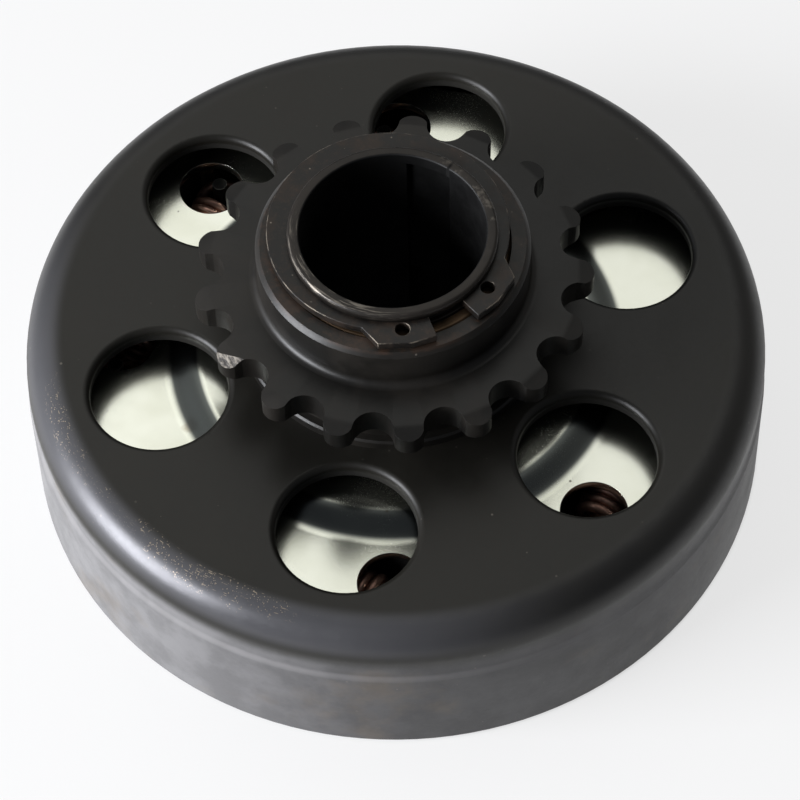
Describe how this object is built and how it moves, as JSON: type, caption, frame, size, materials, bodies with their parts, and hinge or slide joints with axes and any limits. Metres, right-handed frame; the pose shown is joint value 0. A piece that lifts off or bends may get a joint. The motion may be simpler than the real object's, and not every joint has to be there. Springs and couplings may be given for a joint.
{
  "type": "centrifugal clutch",
  "caption": "Drum-type centrifugal clutch with a chain sprocket, a keyed hub bore, sprung friction shoes between two plates, and round holes in the drum's face.",
  "frame": {"origin": "middle of the drum's open rim, on which the clutch stands", "axes": "+Z along the shaft's axis, from the drum's open side to the sprocket; the picture looks from azimuth 12 degrees, 57 degrees above the floor"},
  "size_m": [0.1062, 0.1062, 0.0471],
  "materials": {
    "drum_paint": "blackened, satin, rubbed bright at the edges",
    "sprocket_steel": "blackened, satin, worn edges with traces of rust",
    "bronze": "turned, slightly tarnished",
    "hub_steel": "turned, brown film of oil",
    "zinc_plate": "zinc plated, smooth, with a pale yellow-green tint",
    "rivet_steel": "plain, satin",
    "ring_steel": "phosphated, dark brown, bright at the edges",
    "shoe_iron": "pressed and sintered, matt",
    "lining": "moulded friction material, matt",
    "spring_wire": "copper washed wire, slightly dull"
  },
  "bodies": {
    "drum": {"drum_shell": "drum_paint", "sprocket": "sprocket_steel", "bush": "bronze"},
    "hub": {"hub": "hub_steel", "front_plate": "zinc_plate", "back_plate": "zinc_plate", "rivets": "rivet_steel", "thrust_washer": "rivet_steel", "snap_ring": "ring_steel", "spring_1": "spring_wire", "spring_2": "spring_wire", "spring_3": "spring_wire", "spring_4": "spring_wire"},
    "shoe_1": {"shoe_1": "shoe_iron", "lining_1": "lining"},
    "shoe_2": {"shoe_2": "shoe_iron", "lining_2": "lining"},
    "shoe_3": {"shoe_3": "shoe_iron", "lining_3": "lining"},
    "shoe_4": {"shoe_4": "shoe_iron", "lining_4": "lining"}
  },
  "joints": [
    {"name": "hub_spin", "type": "hinge", "parent": "drum", "child": "hub", "pos_m": [0, 0, 0], "axis": [0, 0, 1], "continuous": true},
    {"name": "shoe_1_slide", "type": "slide", "parent": "hub", "child": "shoe_1", "axis": [0.8434, 0.5373, 0], "range_m": [0, 0.001]},
    {"name": "shoe_2_slide", "type": "slide", "parent": "hub", "child": "shoe_2", "axis": [-0.5373, 0.8434, 0], "range_m": [0, 0.001]},
    {"name": "shoe_3_slide", "type": "slide", "parent": "hub", "child": "shoe_3", "axis": [-0.8434, -0.5373, 0], "range_m": [0, 0.001]},
    {"name": "shoe_4_slide", "type": "slide", "parent": "hub", "child": "shoe_4", "axis": [0.5373, -0.8434, 0], "range_m": [0, 0.001]}
  ],
  "couplings": [
    {"joint": "shoe_2_slide", "follows": "shoe_1_slide", "ratio": 1},
    {"joint": "shoe_3_slide", "follows": "shoe_1_slide", "ratio": 1},
    {"joint": "shoe_4_slide", "follows": "shoe_1_slide", "ratio": 1}
  ]
}
